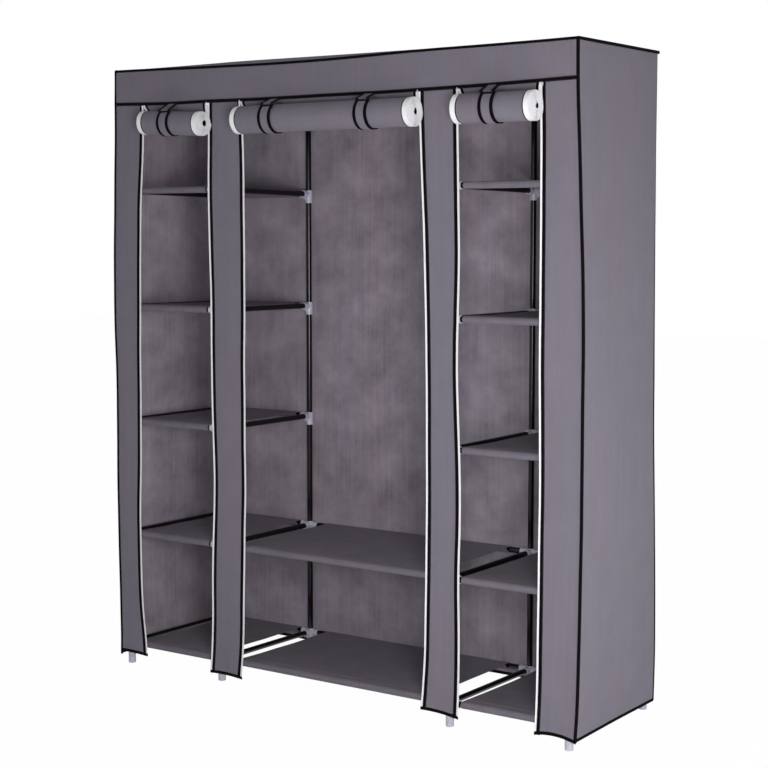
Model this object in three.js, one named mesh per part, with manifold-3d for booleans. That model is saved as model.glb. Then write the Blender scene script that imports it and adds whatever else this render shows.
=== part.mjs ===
// Portable fabric wardrobe: a push-together tube frame with three bays, cloth shelves,
// a sewn cloth cover and three doors that are rolled up and strapped under the valance.
// Millimetres, +Z up. The front looks along -Y, and the feet stand on z = 0.

import * as THREE from 'three';
import { mergeVertices } from 'three/addons/utils/BufferGeometryUtils.js';
import Module from 'manifold-3d';

const wasm = await Module();
wasm.setup();

// Whole wardrobe, over the cover and without the rolled doors
const overallWidth = 1500;
const overallDepth = 450;
const overallHeight = 1750;

// Frame
const innerColumnOffset = 387;
const baseLevelHeight = 55;
const levelCount = 6;
const sharedLevelCount = 2;
const tubeDiameter = 16;
const tubeWall = 0.4;
const roundSides = 8;

// Connectors
const sleeveDiameter = 22;
const socketDiameter = 19.2;
const socketReach = 12;
const sleeveRise = 11;
const sleeveDrop = 27;
const footFloor = 4;
const sleeveCap = 2;

// Hanging rail
const railBracketLength = 26;
const railSocketReach = 30;
const railEndInset = 11;

// Cloth cover
const clothThickness = 1.2;
const hemHeight = 33;
const valanceHeight = 93;
const sideFoldDepth = 2.4;
const sideFoldMargin = 40;
const sideFoldCount = 5;
const backFoldDepth = 3;
const backFoldCount = 9;
const valanceFoldDepth = 1.5;
const valanceFoldCount = 6;
const stripFoldDepth = 2;
const stripFoldCount = 1;
const stepsPerFold = 4;

// Front strips, which give the door openings: each opening ends at the edges of its zip tapes
const outerStripWidth = 88.7;
const innerStripOuterReach = 22.5;
const innerStripInnerReach = 93.5;
const zipTapeWidth = 9;
const doorSideGap = 7;

// Rolled doors
const rollDrop = 67;
const leftRollDiameter = 71;
const middleRollDiameter = 75;
const rightRollDiameter = 79;
const rollCoreDiameter = 10;
const stepsPerTurn = 12;

// Straps round the rolls
const strapWidth = 34;
const strapThickness = 1.2;
const strapGap = 0.7;
const leftStrapShift = 14;
const middleStrapShare = 0.53;
const rightStrapShift = 5;
const strapSteps = 14;

// Zip sliders
const sliderHeight = 12;
const sliderTopInset = 6;
const sliderTapeCover = 4;
const sliderFrontPlate = 1.4;
const sliderBackPlate = 0.8;
const sliderNeckWidth = 3;
const sliderSideGap = 0.5;
const pullTabWidth = 5;
const pullTabLength = 24;
const pullTabThickness = 1;

// Shelves
const sideShelfInset = 38;
const middleShelfInset = 67;
const shelfSeamReach = 26;

// Running and fitting gaps
const fitGap = 0.3;
const overrun = 5;

const tubeRadius = tubeDiameter / 2;
const boreRadius = tubeRadius + fitGap;
const sleeveRadius = sleeveDiameter / 2;
const socketRadius = socketDiameter / 2;
const coverHalfWidth = overallWidth / 2;
const coverHalfDepth = overallDepth / 2;
const outerColumnOffset = coverHalfWidth - clothThickness - fitGap - sleeveRadius;
const rowOffset = coverHalfDepth - clothThickness - fitGap - sleeveRadius;
const topLevelHeight = overallHeight - clothThickness - fitGap - sleeveRise;
const levelPitch = (topLevelHeight - baseLevelHeight) / (levelCount - 1);
const seamHeight = overallHeight - valanceHeight;
const seamEdge = seamHeight - fitGap;
const rollHeight = seamHeight - rollDrop;
const middleOpeningHalf = innerColumnOffset - innerStripInnerReach;
const sideOpeningInner = innerColumnOffset + innerStripOuterReach;
const sideOpeningOuter = coverHalfWidth - outerStripWidth - zipTapeWidth - fitGap;
const sideOpeningMiddle = (sideOpeningInner + sideOpeningOuter) / 2;
const middleStrapPlace = middleOpeningHalf * middleStrapShare;

const columns = [-outerColumnOffset, -innerColumnOffset, innerColumnOffset, outerColumnOffset];
const rows = [-rowOffset, rowOffset];

const blackSteel = new THREE.MeshStandardMaterial({ color: 0x15131a, roughness: 0.25, metalness: 0.6 });
const greyPlastic = new THREE.MeshStandardMaterial({ color: 0x9a9eb6, roughness: 0.5, metalness: 0 });
const greyCloth = new THREE.MeshStandardMaterial({ color: 0x6e6976, roughness: 0.95, metalness: 0 });
const shelfCloth = new THREE.MeshStandardMaterial({ color: 0x5a545c, roughness: 0.95, metalness: 0 });
const whiteTape = new THREE.MeshStandardMaterial({ color: 0xf0eef4, roughness: 0.8, metalness: 0 });
const zipMetal = new THREE.MeshStandardMaterial({ color: 0xc8c8cc, roughness: 0.35, metalness: 0.8 });

const wardrobe = new THREE.Group();

function addPiece(name, geometry, material) {
  const mesh = new THREE.Mesh(geometry, material);
  mesh.name = name;
  wardrobe.add(mesh);
  return mesh;
}

function levelHeight(level) {
  return baseLevelHeight + level * levelPitch;
}

// Solids for joining and cutting

function solidFrom(geometry) {
  geometry.deleteAttribute('normal');
  geometry.deleteAttribute('uv');
  const merged = mergeVertices(geometry);
  const vertProperties = new Float32Array(merged.attributes.position.array);
  const triVerts = new Uint32Array(merged.index.array);
  return new wasm.Manifold(new wasm.Mesh({ numProp: 3, vertProperties, triVerts }));
}

function geometryFrom(solid) {
  const mesh = solid.getMesh();
  const geometry = new THREE.BufferGeometry();
  geometry.setAttribute('position', new THREE.Float32BufferAttribute(mesh.vertProperties, 3));
  geometry.setIndex(Array.from(mesh.triVerts));
  geometry.computeVertexNormals();
  return geometry;
}

function joined(solids) {
  return solids.reduce((whole, solid) => whole.add(solid));
}

function rod(start, end, radius) {
  const from = new THREE.Vector3(...start);
  const to = new THREE.Vector3(...end);
  const along = to.clone().sub(from);
  const geometry = new THREE.CylinderGeometry(radius, radius, along.length(), roundSides);
  const turn = new THREE.Quaternion();
  turn.setFromUnitVectors(new THREE.Vector3(0, 1, 0), along.normalize());
  geometry.applyQuaternion(turn);
  const middle = from.add(to).multiplyScalar(0.5);
  geometry.translate(middle.x, middle.y, middle.z);
  return solidFrom(geometry);
}

function block(low, high) {
  const size = high.map((value, axis) => value - low[axis]);
  const geometry = new THREE.BoxGeometry(...size);
  geometry.translate(...high.map((value, axis) => (value + low[axis]) / 2));
  return solidFrom(geometry);
}

// Outlines pushed straight along an axis

function shapeFrom(points) {
  return new THREE.Shape(points.map(([u, v]) => new THREE.Vector2(u, v)));
}

function extruded(shape, length) {
  return new THREE.ExtrudeGeometry(shape, { depth: length, bevelEnabled: false, steps: 1 });
}

// An outline drawn in y and z becomes a piece that runs along x
function alongX(shape, from, to) {
  const geometry = extruded(shape, to - from);
  const axes = new THREE.Matrix4();
  axes.makeBasis(new THREE.Vector3(0, 1, 0), new THREE.Vector3(0, 0, 1), new THREE.Vector3(1, 0, 0));
  geometry.applyMatrix4(axes);
  geometry.translate(from, 0, 0);
  return geometry;
}

// An outline drawn in x and y becomes a piece that stands between two heights
function upright(shape, from, to) {
  const geometry = extruded(shape, to - from);
  geometry.translate(0, 0, from);
  return geometry;
}

function polarPoint(radius, angle) {
  return [radius * Math.cos(angle), radius * Math.sin(angle)];
}

function arcPoints(radius, startAngle, endAngle, steps) {
  const points = [];
  for (let step = 0; step <= steps; step += 1) {
    points.push(polarPoint(radius, startAngle + ((endAngle - startAngle) * step) / steps));
  }
  return points;
}

function tubeShape(outerRadius, innerRadius) {
  const turn = 2 * Math.PI;
  const shape = shapeFrom(arcPoints(outerRadius, 0, turn, roundSides).slice(0, roundSides));
  const bore = shapeFrom(arcPoints(innerRadius, 0, turn, roundSides).slice(0, roundSides));
  shape.holes.push(bore);
  return shape;
}

// Frame: eight uprights that run through the connector sleeves

function addUprights() {
  const bottom = footFloor + fitGap;
  const top = topLevelHeight + sleeveRise - sleeveCap - fitGap;
  const rowNames = ['front', 'back'];
  rows.forEach((y, row) => {
    columns.forEach((x, column) => {
      const geometry = upright(tubeShape(tubeRadius, tubeRadius - tubeWall), bottom, top);
      const mesh = addPiece(`${rowNames[row]}_upright_${column + 1}`, geometry, blackSteel);
      mesh.position.set(x, y, 0);
    });
  });
}

// One level of the frame: its tubes pushed into the sockets of its connectors
function frameLevel(level, columnPlaces) {
  const height = levelHeight(level);
  const isBase = level === 0;
  const isTop = level === levelCount - 1;
  const sleeveBottom = isBase ? 0 : height - sleeveDrop;
  const sleeveTop = height + sleeveRise;
  const boreBottom = isBase ? footFloor : sleeveBottom - overrun;
  const boreTop = isTop ? sleeveTop - sleeveCap : sleeveTop + overrun;
  const solids = [];
  const hollows = [];

  function addTube(start, end) {
    const from = new THREE.Vector3(...start);
    const to = new THREE.Vector3(...end);
    const reach = to.clone().sub(from).setLength(socketReach);
    solids.push(rod(start, end, tubeRadius));
    solids.push(rod(start, from.clone().add(reach).toArray(), socketRadius));
    solids.push(rod(to.clone().sub(reach).toArray(), end, socketRadius));
    hollows.push(rod(start, end, tubeRadius - tubeWall));
  }

  columnPlaces.forEach((x, place) => {
    rows.forEach((y) => {
      solids.push(rod([x, y, sleeveBottom], [x, y, sleeveTop], sleeveRadius));
      hollows.push(rod([x, y, boreBottom], [x, y, boreTop], boreRadius));
      if (place > 0) {
        addTube([columnPlaces[place - 1], y, height], [x, y, height]);
      }
    });
    addTube([x, rows[0], height], [x, rows[1], height]);
  });
  return geometryFrom(joined(solids).subtract(joined(hollows)));
}

function addFrameLevels() {
  addPiece('base_frame', frameLevel(0, columns), blackSteel);
  addPiece('lower_frame', frameLevel(1, columns), blackSteel);
  for (let level = sharedLevelCount; level < levelCount - 1; level += 1) {
    addPiece(`left_ring_${level}`, frameLevel(level, columns.slice(0, 2)), blackSteel);
    addPiece(`right_ring_${level}`, frameLevel(level, columns.slice(2)), blackSteel);
  }
  addPiece('top_frame', frameLevel(levelCount - 1, columns), blackSteel);
}

// Hanging rail across the middle bay, in a bracket on each inner depth tube of the top level

function railBracket(side) {
  const x = side * innerColumnOffset;
  const z = topLevelHeight;
  const half = railBracketLength / 2;
  const mouth = side * (innerColumnOffset - railSocketReach);
  const socketFloor = side * (innerColumnOffset - railEndInset + fitGap);
  const sleeve = rod([x, -half, z], [x, half, z], sleeveRadius);
  const body = sleeve.add(rod([x, 0, z], [mouth, 0, z], socketRadius));
  const tubeBore = rod([x, -half - overrun, z], [x, half + overrun, z], boreRadius);
  const railBore = rod([socketFloor, 0, z], [mouth - side * overrun, 0, z], boreRadius);
  return geometryFrom(body.subtract(tubeBore).subtract(railBore));
}

function addHangingRail() {
  const end = innerColumnOffset - railEndInset;
  const rail = alongX(tubeShape(tubeRadius, tubeRadius - tubeWall), -end, end);
  addPiece('hanging_rail', rail, blackSteel).position.z = topLevelHeight;
  addPiece('left_rail_bracket', railBracket(-1), greyPlastic);
  addPiece('right_rail_bracket', railBracket(1), greyPlastic);
}

// Shelf cloth: a sheet over the front and back tubes, turned under each and sewn to itself

function shelfGeometry(from, to) {
  const inner = boreRadius;
  const outer = boreRadius + clothThickness;
  const top = Math.PI / 2;
  const lastAngle = (7 * Math.PI) / 4;
  const steps = (roundSides * 5) / 8;
  const outerArc = arcPoints(outer, top, lastAngle, steps);
  const innerArc = arcPoints(inner, top, lastAngle, steps);
  const [flapStart, flapLow] = outerArc[outerArc.length - 1];
  const flapSlope = Math.atan2(inner - flapLow, shelfSeamReach - flapStart);
  const hollowReach = shelfSeamReach - clothThickness / Math.sin(flapSlope);
  const edge = [...outerArc, [shelfSeamReach, inner]];
  const hollow = [...innerArc, [hollowReach, inner]];
  const onFront = ([y, z]) => [y - rowOffset, z];
  const onBack = ([y, z]) => [rowOffset - y, z];
  const outline = shapeFrom([...edge.map(onFront), ...edge.map(onBack).reverse()]);
  const sleeves = [onFront, onBack].map((place) => (
    solidFrom(alongX(shapeFrom(hollow.map(place)), from - overrun, to + overrun))
  ));
  return geometryFrom(solidFrom(alongX(outline, from, to)).subtract(joined(sleeves)));
}

function addShelf(name, level, from, to) {
  const mesh = addPiece(name, shelfGeometry(from, to), shelfCloth);
  mesh.position.z = levelHeight(level);
}

function addShelves() {
  const inner = innerColumnOffset + sideShelfInset;
  const outer = outerColumnOffset - sideShelfInset;
  const middle = innerColumnOffset - middleShelfInset;
  for (let level = 0; level < levelCount - 1; level += 1) {
    addShelf(`left_shelf_${level + 1}`, level, -outer, -inner);
    addShelf(`right_shelf_${level + 1}`, level, inner, outer);
    if (level < sharedLevelCount) {
      addShelf(`middle_shelf_${level + 1}`, level, -middle, middle);
    }
  }
}

// Cloth cover

// The plan of a sheet that runs along u, with folds that swing to one side of v
function foldedSheet(from, to, surface, inward, foldDepth, foldCount, margin) {
  const steps = foldCount * stepsPerFold;
  const start = from + margin;
  const length = to - from - 2 * margin;
  const line = margin > 0 ? [[from, 0]] : [];
  for (let step = 0; step <= steps; step += 1) {
    const share = step / steps;
    line.push([start + length * share, foldDepth * Math.sin(Math.PI * foldCount * share) ** 2]);
  }
  if (margin > 0) {
    line.push([to, 0]);
  }
  const outside = line.map(([u, fold]) => [u, surface + fold]);
  const inside = line.map(([u, fold]) => [u, surface + fold + inward]).reverse();
  return [...outside, ...inside];
}

function swapped(points) {
  return points.map(([u, v]) => [v, u]);
}

function addCover() {
  const front = -coverHalfDepth;
  const back = coverHalfDepth;
  const roofBottom = overallHeight - clothThickness;
  const panelTop = roofBottom - fitGap;
  const roof = block([-coverHalfWidth, front, roofBottom], [coverHalfWidth, back, overallHeight]);
  addPiece('roof_panel', geometryFrom(roof), greyCloth);

  const backPlan = foldedSheet(
    -coverHalfWidth, coverHalfWidth, back, -clothThickness, backFoldDepth, backFoldCount, 0,
  );
  addPiece('back_panel', upright(shapeFrom(backPlan), hemHeight, panelTop), greyCloth);

  const sideStart = front + clothThickness + fitGap;
  [['left', -1], ['right', 1]].forEach(([name, side]) => {
    const plan = foldedSheet(
      sideStart, -sideStart, side * coverHalfWidth, -side * clothThickness,
      -side * sideFoldDepth, sideFoldCount, sideFoldMargin,
    );
    addPiece(`${name}_side_panel`, upright(shapeFrom(swapped(plan)), hemHeight, panelTop), greyCloth);
  });

  const valancePlan = foldedSheet(
    -coverHalfWidth, coverHalfWidth, front, clothThickness, -valanceFoldDepth, valanceFoldCount, 0,
  );
  addPiece('front_valance', upright(shapeFrom(valancePlan), seamHeight, panelTop), greyCloth);
}

// Door openings from left to right, each with its roll and the middles of its straps
const openings = [
  { name: 'left', from: -sideOpeningOuter, to: -sideOpeningInner, diameter: leftRollDiameter },
  { name: 'middle', from: -middleOpeningHalf, to: middleOpeningHalf, diameter: middleRollDiameter },
  { name: 'right', from: sideOpeningInner, to: sideOpeningOuter, diameter: rightRollDiameter },
];

const straps = [
  { name: 'left_strap', place: leftStrapShift - sideOpeningMiddle, diameter: leftRollDiameter },
  { name: 'middle_strap_1', place: -middleStrapPlace, diameter: middleRollDiameter },
  { name: 'middle_strap_2', place: middleStrapPlace, diameter: middleRollDiameter },
  { name: 'right_strap', place: sideOpeningMiddle + rightStrapShift, diameter: rightRollDiameter },
];

function addFrontStrips() {
  const tapeAndGap = zipTapeWidth + fitGap;
  const edges = openings.flatMap(({ from, to }) => [from - tapeAndGap, to + tapeAndGap]);
  const starts = [-coverHalfWidth, edges[1], edges[3], edges[5]];
  const ends = [edges[0], edges[2], edges[4], coverHalfWidth];
  starts.forEach((start, strip) => {
    const plan = foldedSheet(
      start, ends[strip], -coverHalfDepth, clothThickness, -stripFoldDepth, stripFoldCount, 0,
    );
    addPiece(`front_strip_${strip + 1}`, upright(shapeFrom(plan), hemHeight, seamEdge), greyCloth);
  });
}

// Rolled door: the cloth hangs from the seam behind the roll, runs under it and winds up inwards

function rollCentreY(diameter) {
  return clothThickness - coverHalfDepth - diameter / 2;
}

function rollLine(diameter) {
  const clothLength = seamHeight - hemHeight - rollDrop;
  const start = (diameter - clothThickness) / 2;
  const end = (rollCoreDiameter + clothThickness) / 2;
  const pitch = (Math.PI * (start ** 2 - end ** 2)) / clothLength;
  const steps = Math.round(((start - end) / pitch) * stepsPerTurn);
  const line = [];
  for (let step = 0; step <= steps; step += 1) {
    const turns = step / stepsPerTurn;
    line.push({ radius: start - pitch * turns, angle: -2 * Math.PI * turns });
  }
  return line;
}

function rolledDoorShape(diameter) {
  const line = rollLine(diameter);
  const half = clothThickness / 2;
  const outside = line.map(({ radius, angle }) => polarPoint(radius + half, angle));
  const inside = line.map(({ radius, angle }) => polarPoint(radius - half, angle)).reverse();
  const webBack = diameter / 2;
  const webTop = seamEdge - rollHeight;
  return shapeFrom([[webBack, webTop], ...outside, ...inside, [webBack - clothThickness, webTop]]);
}

function leastTurnGap(diameter) {
  const points = rollLine(diameter).map(({ radius, angle }) => polarPoint(radius, angle));
  let least = Infinity;
  points.forEach(([y, z], index) => {
    points.slice(index + stepsPerTurn / 2).forEach(([otherY, otherZ]) => {
      least = Math.min(least, Math.hypot(otherY - y, otherZ - z));
    });
  });
  return least - clothThickness;
}

function addDoors() {
  openings.forEach(({ name, from, to, diameter }) => {
    const geometry = alongX(rolledDoorShape(diameter), from + doorSideGap, to - doorSideGap);
    const door = addPiece(`${name}_door`, geometry, greyCloth);
    door.position.set(0, rollCentreY(diameter), rollHeight);
    console.log(`${name} door roll: least gap between its turns ${leastTurnGap(diameter).toFixed(2)} mm`);
  });
}

// Strap: from the seam over the front of the roll, round under it and up behind the door cloth
function strapShape(diameter) {
  const inner = diameter / 2 + strapGap;
  const outer = inner + strapThickness;
  const legTop = seamEdge - rollHeight;
  const innerTop = diameter / 2 - clothThickness - fitGap;
  const tangent = Math.atan2(legTop, innerTop) + Math.acos(inner / Math.hypot(innerTop, legTop));
  const outerTop = (outer - legTop * Math.sin(tangent)) / Math.cos(tangent);
  const insideArc = arcPoints(inner, tangent, 2 * Math.PI, strapSteps);
  const outsideArc = arcPoints(outer, tangent, 2 * Math.PI, strapSteps).reverse();
  return shapeFrom([
    [innerTop, legTop],
    ...insideArc,
    [inner, legTop],
    [outer, legTop],
    ...outsideArc,
    [outerTop, legTop],
  ]);
}

function addStraps() {
  straps.forEach(({ name, place, diameter }) => {
    const geometry = alongX(strapShape(diameter), place - strapWidth / 2, place + strapWidth / 2);
    addPiece(name, geometry, greyCloth).position.set(0, rollCentreY(diameter), rollHeight);
  });
}

// Zips: a tape along each side of an opening, and the slider that runs down it

function zipSlider(edge, inwards) {
  const front = -coverHalfDepth - fitGap;
  const back = clothThickness - coverHalfDepth + fitGap;
  const top = seamEdge - sliderTopInset;
  const bottom = top - sliderHeight;
  const ends = [edge - inwards * sliderTapeCover, edge + inwards * (doorSideGap - sliderSideGap)];
  const low = Math.min(...ends);
  const high = Math.max(...ends);
  const neckMiddle = edge + (inwards * (doorSideGap - sliderSideGap)) / 2;
  const neckLow = neckMiddle - sliderNeckWidth / 2;
  const neckHigh = neckMiddle + sliderNeckWidth / 2;
  const tabFront = front - sliderFrontPlate - pullTabThickness;
  const tabMiddle = (low + high) / 2;
  const tabHalf = pullTabWidth / 2;
  const plates = [
    block([low, front - sliderFrontPlate, bottom], [high, front, top]),
    block([low, back, bottom], [high, back + sliderBackPlate, top]),
    block([neckLow, front - sliderFrontPlate / 2, bottom], [neckHigh, back + sliderBackPlate / 2, top]),
    block(
      [tabMiddle - tabHalf, tabFront, bottom - pullTabLength + sliderHeight / 2],
      [tabMiddle + tabHalf, tabFront + pullTabThickness + sliderFrontPlate / 2, bottom + sliderHeight / 2],
    ),
  ];
  return geometryFrom(joined(plates));
}

function addZips() {
  const edges = openings.flatMap(({ from, to }) => [[from, 1], [to, -1]]);
  edges.forEach(([edge, inwards], index) => {
    const ends = [edge, edge - inwards * zipTapeWidth];
    const tape = block(
      [Math.min(...ends), -coverHalfDepth, hemHeight],
      [Math.max(...ends), clothThickness - coverHalfDepth, seamEdge],
    );
    addPiece(`zip_tape_${index + 1}`, geometryFrom(tape), whiteTape);
    addPiece(`zip_slider_${index + 1}`, zipSlider(edge, inwards), zipMetal);
  });
}

addUprights();
addFrameLevels();
addHangingRail();
addShelves();
addCover();
addFrontStrips();
addDoors();
addStraps();
addZips();

// The origin lies on the floor under the middle of the whole wardrobe, rolled doors included
const span = new THREE.Box3().setFromObject(wardrobe);
wardrobe.position.y = -(span.min.y + span.max.y) / 2;

export default wardrobe;
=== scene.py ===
import math

import bpy
import numpy as np
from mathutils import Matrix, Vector


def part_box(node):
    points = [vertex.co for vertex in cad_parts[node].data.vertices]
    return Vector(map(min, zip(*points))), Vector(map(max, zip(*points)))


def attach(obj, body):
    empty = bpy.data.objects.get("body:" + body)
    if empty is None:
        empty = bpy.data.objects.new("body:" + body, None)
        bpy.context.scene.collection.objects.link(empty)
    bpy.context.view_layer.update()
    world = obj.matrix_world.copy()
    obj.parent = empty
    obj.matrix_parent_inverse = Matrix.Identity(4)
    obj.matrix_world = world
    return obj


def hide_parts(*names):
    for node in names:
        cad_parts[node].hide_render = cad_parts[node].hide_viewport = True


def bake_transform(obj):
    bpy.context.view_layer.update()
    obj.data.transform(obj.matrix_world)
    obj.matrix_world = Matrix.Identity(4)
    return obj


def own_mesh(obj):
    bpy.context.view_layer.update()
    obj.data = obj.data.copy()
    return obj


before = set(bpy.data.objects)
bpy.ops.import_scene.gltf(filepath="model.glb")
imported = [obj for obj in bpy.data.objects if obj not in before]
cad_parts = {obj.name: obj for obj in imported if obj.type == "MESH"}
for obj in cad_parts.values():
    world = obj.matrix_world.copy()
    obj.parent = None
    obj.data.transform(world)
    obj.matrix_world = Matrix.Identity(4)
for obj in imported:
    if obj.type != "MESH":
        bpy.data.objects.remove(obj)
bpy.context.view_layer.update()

print("frame loaded:", len(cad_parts), "nodes")


# small tools; every length in this file is in millimetres until makePiece

def cadBox(node):
    low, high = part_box(node)
    return np.array(low) * 1000, np.array(high) * 1000  # mm


def cadMiddle(node):
    low, high = cadBox(node)
    return (low + high) / 2


def hexToLinear(text):
    values = [int(text[i:i + 2], 16) / 255 for i in (1, 3, 5)]
    return [v / 12.92 if v <= 0.04045 else ((v + 0.055) / 1.055) ** 2.4 for v in values] + [1.0]


def unit(vectors):
    return vectors / np.linalg.norm(vectors, axis=-1, keepdims=True)


def share01(value):
    return np.clip(value, 0, 1)


def lookUp(table, value):
    places, amounts = zip(*table)
    return np.interp(value, places, amounts)


def softLookUp(table, value):
    # the table smoothed over 60 mm, so that a bent edge has no corners
    return sum(lookUp(table, value + shift) for shift in (-60, -30, 0, 30, 60)) / 5


def ripple(u, v, seed, wave, count=7):
    # smooth waves of about the given length in mm, from -1 to 1, the same in each run
    source = np.random.default_rng(seed)
    total = 0
    for turn, phase, stretch in source.random((count, 3)):
        length = wave * (0.6 + stretch)
        across = u * math.cos(turn * math.pi) + v * math.sin(turn * math.pi)
        total = total + np.sin(across * 2 * math.pi / length + phase * 2 * math.pi)
    return total / count ** 0.5 / 1.6


# mesh parts: each is (points, faces, uv); a sheet also has the number of its outer faces

def shellPart(outer, uv, thickness):
    # a sheet of cloth from its outer face, as rows of points, with its inner face and rims
    rows, columns = outer.shape[:2]
    normals = unit(np.cross(np.gradient(outer, axis=1), np.gradient(outer, axis=0)))
    points = np.concatenate([outer.reshape(-1, 3), (outer - normals * thickness).reshape(-1, 3)])
    count = rows * columns
    index = np.arange(count).reshape(rows, columns)
    quads = np.stack([index[:-1, :-1], index[:-1, 1:], index[1:, 1:], index[1:, :-1]], axis=-1).reshape(-1, 4)
    border = np.concatenate([index[0, :-1], index[:-1, -1], index[-1, :0:-1], index[:0:-1, 0]])
    after = np.roll(border, -1)
    rims = np.stack([after, border, border + count, after + count], axis=-1)
    faces = np.concatenate([quads, quads[:, ::-1] + count, rims])
    return points, faces.tolist(), np.concatenate([uv.reshape(-1, 2)] * 2), len(quads)


def sweepPart(path, across, out, section):
    # a section, as rows of (across, out), carried along a path
    path = np.asarray(path, float)
    across = np.broadcast_to(np.asarray(across, float), path.shape)
    out = np.broadcast_to(np.asarray(out, float), path.shape)
    section = np.asarray(section, float)
    if (np.cross(across, out)[:-1] * np.diff(path, axis=0)).sum() < 0:
        section = section[::-1]
    points = path[:, None] + across[:, None] * section[None, :, :1] + out[:, None] * section[None, :, 1:]
    rings, sides = len(path), len(section)
    index = np.arange(rings * sides).reshape(rings, sides)
    start, end = index[:-1], index[1:]
    quads = np.stack([start, np.roll(start, -1, 1), np.roll(end, -1, 1), end], axis=-1).reshape(-1, 4)
    faces = quads.tolist() + [index[0, ::-1].tolist(), index[-1].tolist()]
    run = np.concatenate([[0], np.cumsum(np.linalg.norm(np.diff(path, axis=0), axis=1))])
    uv = np.stack(np.broadcast_arrays(run[:, None], section[None, :, 0]), axis=-1)
    return points.reshape(-1, 3), faces, uv.reshape(-1, 2)


def linePath(*axes):
    return np.stack(np.broadcast_arrays(*axes), axis=-1).astype(float)


def bandSection(width, thickness):
    half, deep, soft = width / 2, thickness / 2, min(thickness * 0.35, width / 4)
    return [(-half, -deep + soft), (-half + soft, -deep), (0, -deep), (half - soft, -deep), (half, -deep + soft),
            (half, deep - soft), (half - soft, deep), (0, deep), (-half + soft, deep), (-half, deep - soft)]


def lathePart(profile, origin, axis, sides, loop=False):
    # a profile of (radius, height) turned about an axis; it runs up the outside
    axis = np.asarray(axis, float) / np.linalg.norm(axis)
    first = unit(np.cross(axis, [0.31, 0.95, 0.05] if abs(axis[1]) < 0.8 else [1, 0, 0]))
    second = np.cross(axis, first)
    turn = np.arange(sides) * 2 * math.pi / sides
    spokes = np.cos(turn)[:, None] * first + np.sin(turn)[:, None] * second
    points, rings, uv = [], [], []
    for radius, height in profile:
        base = np.asarray(origin, float) + axis * height
        if radius == 0:
            rings.append([len(points)] * sides)
            points.append(base)
            uv.append((0, height))
        else:
            rings.append(list(range(len(points), len(points) + sides)))
            points.extend(base + spokes * radius)
            uv.extend((angle * radius, height) for angle in turn)
    faces = []
    pairs = zip(rings, rings[1:] + rings[:1]) if loop else zip(rings, rings[1:])
    for low, high in pairs:
        for side in range(sides):
            after = (side + 1) % sides
            corners = [low[side], low[after], high[after], high[side]]
            faces.append([c for n, c in enumerate(corners) if c not in corners[:n]])
    return np.array(points), faces, np.array(uv, float)


def rodPart(start, end, radius, sides=20, soft=0.6):
    start, end = np.asarray(start, float), np.asarray(end, float)
    length = np.linalg.norm(end - start)
    profile = [(0, 0), (radius - soft, 0), (radius, soft),
               (radius, length - soft), (radius - soft, length), (0, length)]
    return lathePart(profile, start, end - start, sides)


def platePart(outline, low, high, place, soft=0.25):
    # an outline in x and z, given left-turning as seen from the front, as a plate from y low to y high
    outline = np.asarray(outline, float)
    middle = outline.mean(axis=0)
    inset = middle + (outline - middle) * (1 - 2 * soft / np.ptp(outline, axis=0).min())
    levels = [(inset, low), (outline, low + soft), (outline, high - soft), (inset, high)]
    points = np.concatenate([linePath(shape[:, 0], y, shape[:, 1]) for shape, y in levels])
    count = len(outline)
    faces = [list(range(count)), list(range(4 * count - 1, 3 * count - 1, -1))]
    for level in range(3):
        for n in range(count):
            after = (n + 1) % count
            low, high = level * count, (level + 1) * count
            faces.append([low + n, high + n, high + after, low + after])
    return points + np.asarray(place, float), faces, points[:, [0, 2]]


def addObject(name, data):
    added = bpy.data.objects.new(name, data)
    bpy.context.scene.collection.objects.link(added)
    return added


def placeMesh(name, mesh, body, replaces=()):
    piece = addObject(name, mesh)
    if body:
        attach(piece, body)
    if replaces:
        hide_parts(*replaces)
    return piece


def makePiece(name, parts, material, body="wardrobe", replaces=(), reverse=None):
    points, faces, uvs, start = [], [], [], 0
    for partPoints, partFaces, partUv, *_ in parts:
        points.append(partPoints)
        uvs.append(partUv)
        faces.extend([corner + start for corner in face] for face in partFaces)
        start += len(partPoints)
    mesh = bpy.data.meshes.new(name)
    mesh.from_pydata((np.concatenate(points) / 1000).tolist(), [], faces)
    corners = np.zeros(len(mesh.loops), np.int32)
    mesh.loops.foreach_get("vertex_index", corners)
    layer = mesh.uv_layers.new(name="UVMap")
    layer.data.foreach_set("uv", (np.concatenate(uvs)[corners] / 1000).astype(np.float32).ravel())
    mesh.shade_smooth()
    mesh.set_sharp_from_angle(angle=math.radians(38))
    mesh.materials.append(material)
    if reverse:  # the inner faces of a single sheet come after its outer ones
        mesh.materials.append(reverse)
        outer = parts[0][3]
        sides = [int(outer <= n < 2 * outer) for n in range(len(mesh.polygons))]
        mesh.polygons.foreach_set("material_index", sides)
    return placeMesh(name, mesh, body, replaces)


# materials

def addNode(tree, kind, inputs=None, **settings):
    node = tree.nodes.new(kind)
    for name, value in settings.items():
        setattr(node, name, value)
    for socket, value in (inputs or {}).items():
        if isinstance(value, bpy.types.NodeSocket):
            tree.links.new(value, node.inputs[socket])
        else:
            node.inputs[socket].default_value = value
    return node


def newMaterial(name, **shader):
    material = bpy.data.materials.new(name)
    material.use_nodes = True
    surface = material.node_tree.nodes["Principled BSDF"]
    for socket, value in shader.items():
        surface.inputs[socket.replace("_", " ")].default_value = value
    return material, material.node_tree, surface


def uvNode(tree):
    return addNode(tree, "ShaderNodeUVMap", uv_map="UVMap").outputs["UV"]


def noiseNode(tree, place, scale, detail, flat=True, **inputs):
    settings = {"noise_dimensions": "2D"} if flat else {}
    given = {"Vector": place, "Scale": scale, "Detail": detail, **inputs}
    return addNode(tree, "ShaderNodeTexNoise", given, **settings).outputs[0]


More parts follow.
